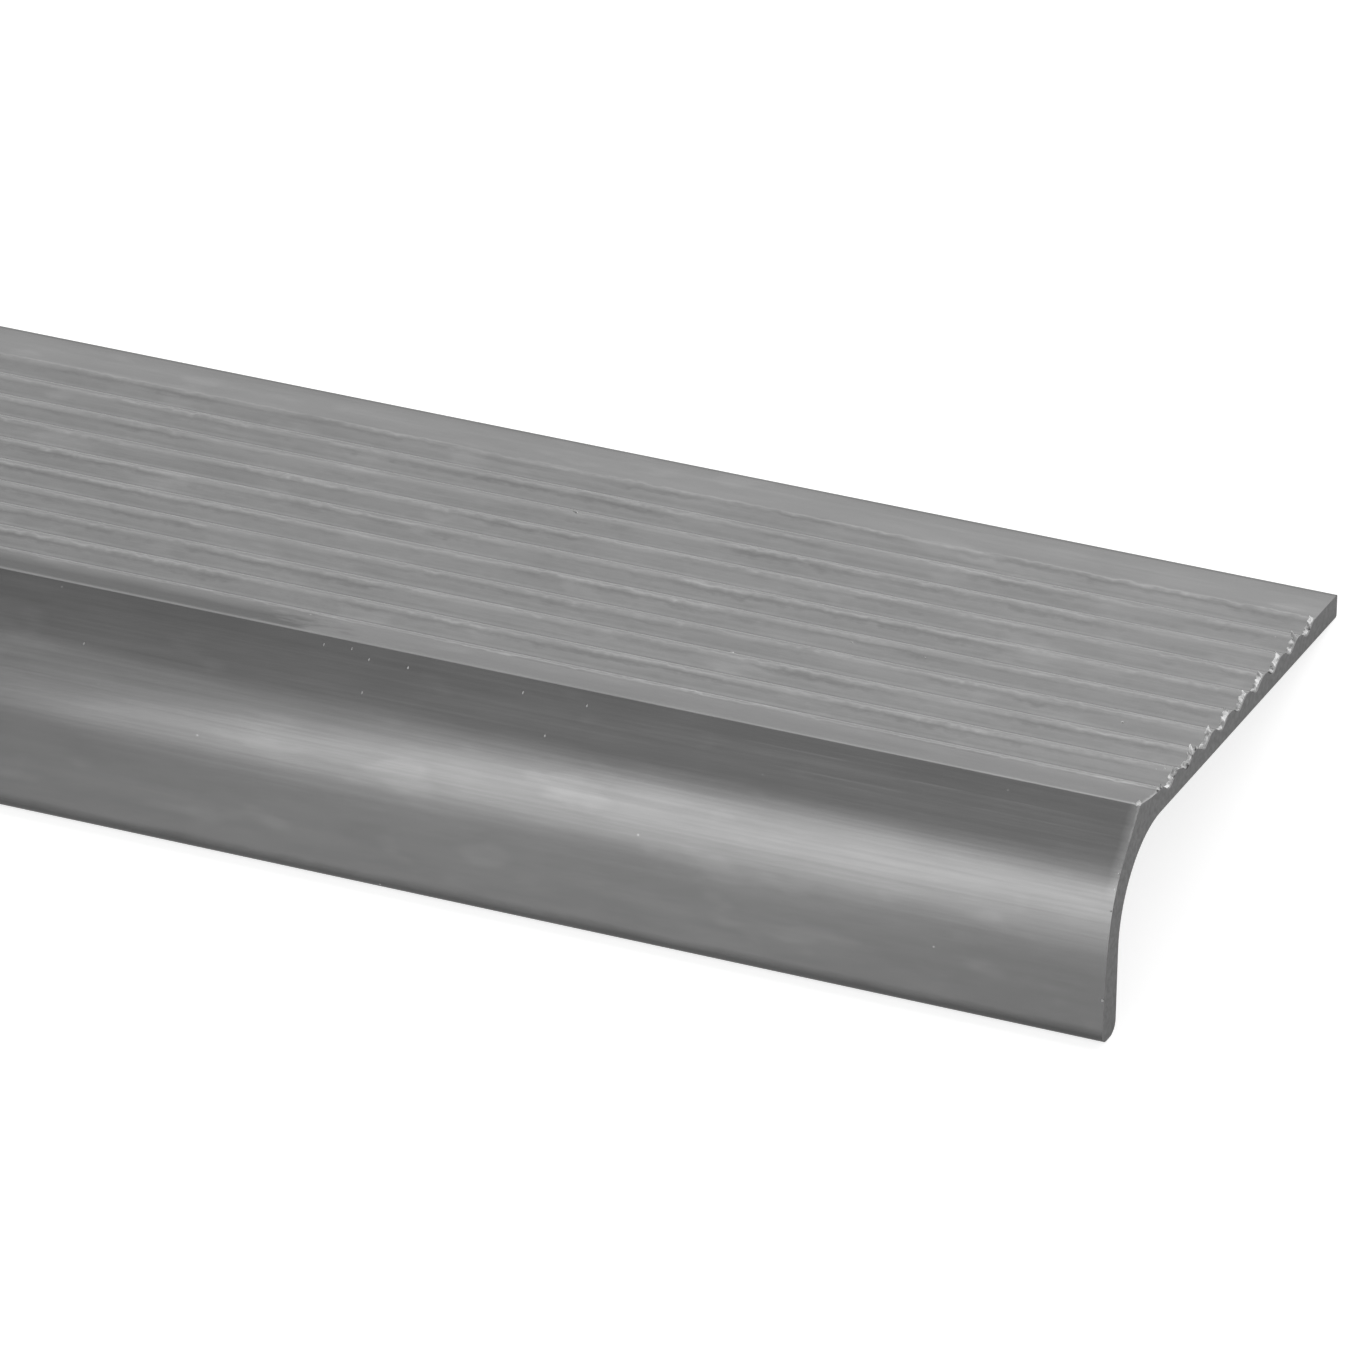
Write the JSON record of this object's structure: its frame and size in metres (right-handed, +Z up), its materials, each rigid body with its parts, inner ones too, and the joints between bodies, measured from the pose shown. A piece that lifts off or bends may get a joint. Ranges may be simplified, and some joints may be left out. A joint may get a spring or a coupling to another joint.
{
  "type": "stair nosing",
  "caption": "Extruded aluminium stair nosing with a ribbed tread, a crisp front lip and a rounded nose that turns down into an apron.",
  "frame": {"origin": "centre of the footprint on the floor, with the profile as it lies unheld", "axes": "+X along the extrusion, +Y from the apron towards the back edge, +Z up; the tread slopes down towards the back by 17.9 degrees"},
  "size_m": [1, 0.0572, 0.0172],
  "materials": {
    "mill_aluminium": "satin mill finish, extruded"
  },
  "bodies": {
    "root": {"nosing_profile": "mill_aluminium"}
  },
  "joints": []
}
